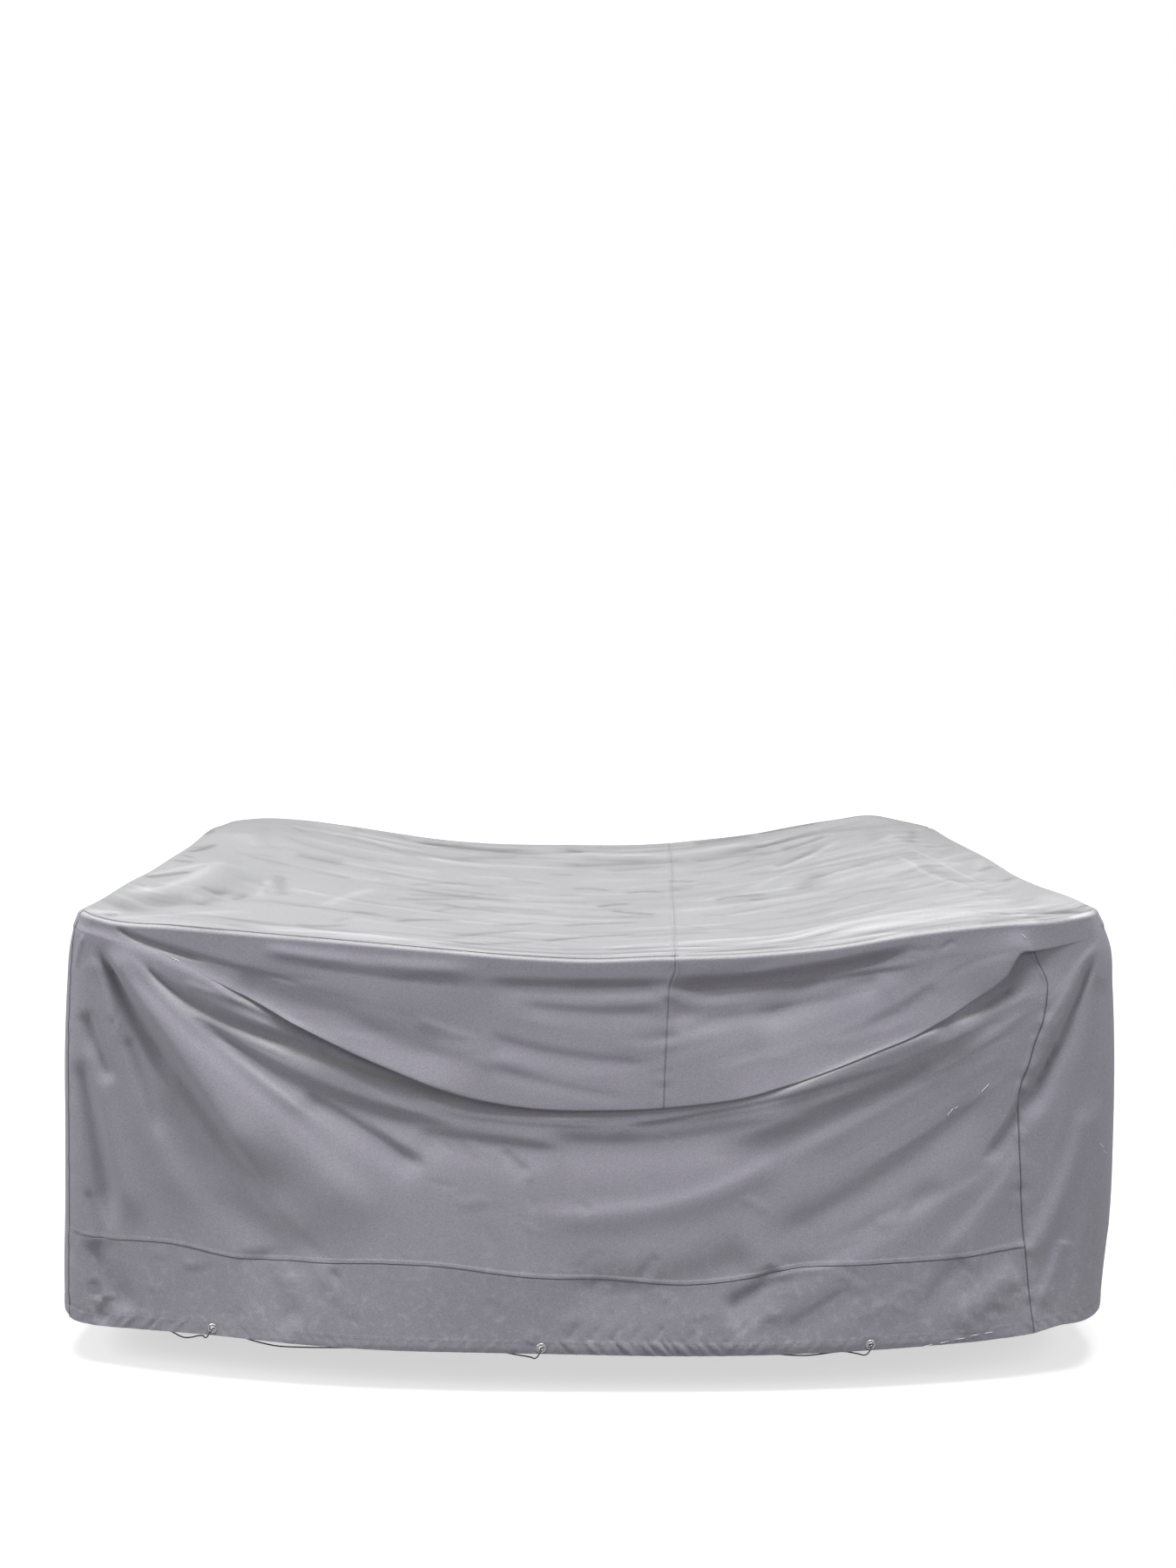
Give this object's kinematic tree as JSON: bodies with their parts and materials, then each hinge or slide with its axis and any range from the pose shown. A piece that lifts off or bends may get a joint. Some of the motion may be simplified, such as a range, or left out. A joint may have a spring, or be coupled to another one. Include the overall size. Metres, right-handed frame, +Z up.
{
  "type": "patio furniture cover",
  "caption": "Large rectangular fitted cover of coated grey polyester, sagging between its corners, with a banded front, an eyeleted hem and a thin drawcord.",
  "frame": {"origin": "under the middle of the sagging top, where the cover lies nearest to the furniture", "axes": "+X along the cover's length to the right as the picture shows it, +Y from its front to its back, +Z up"},
  "size_m": [2.3813, 1.8428, 0.9674],
  "materials": {
    "coated_cloth": "grey coated woven polyester with a soft sheen, faint dust and wear near the hem",
    "eyelet_metal": "plain pressed metal ring",
    "cord_yarn": "thin braided dark cord"
  },
  "bodies": {
    "root": {"top_left": "coated_cloth", "top_right": "coated_cloth", "front_skirt": "coated_cloth", "front_band": "coated_cloth", "side_left": "coated_cloth", "side_right": "coated_cloth", "back_skirt": "coated_cloth", "back_band": "coated_cloth", "eyelet_front_left": "eyelet_metal", "eyelet_front_middle": "eyelet_metal", "eyelet_front_right": "eyelet_metal", "eyelet_right_front": "eyelet_metal", "eyelet_right_back": "eyelet_metal", "eyelet_back_right": "eyelet_metal", "eyelet_back_middle": "eyelet_metal", "eyelet_back_left": "eyelet_metal", "eyelet_left_back": "eyelet_metal", "eyelet_left_front": "eyelet_metal", "drawcord": "cord_yarn"}
  },
  "joints": []
}
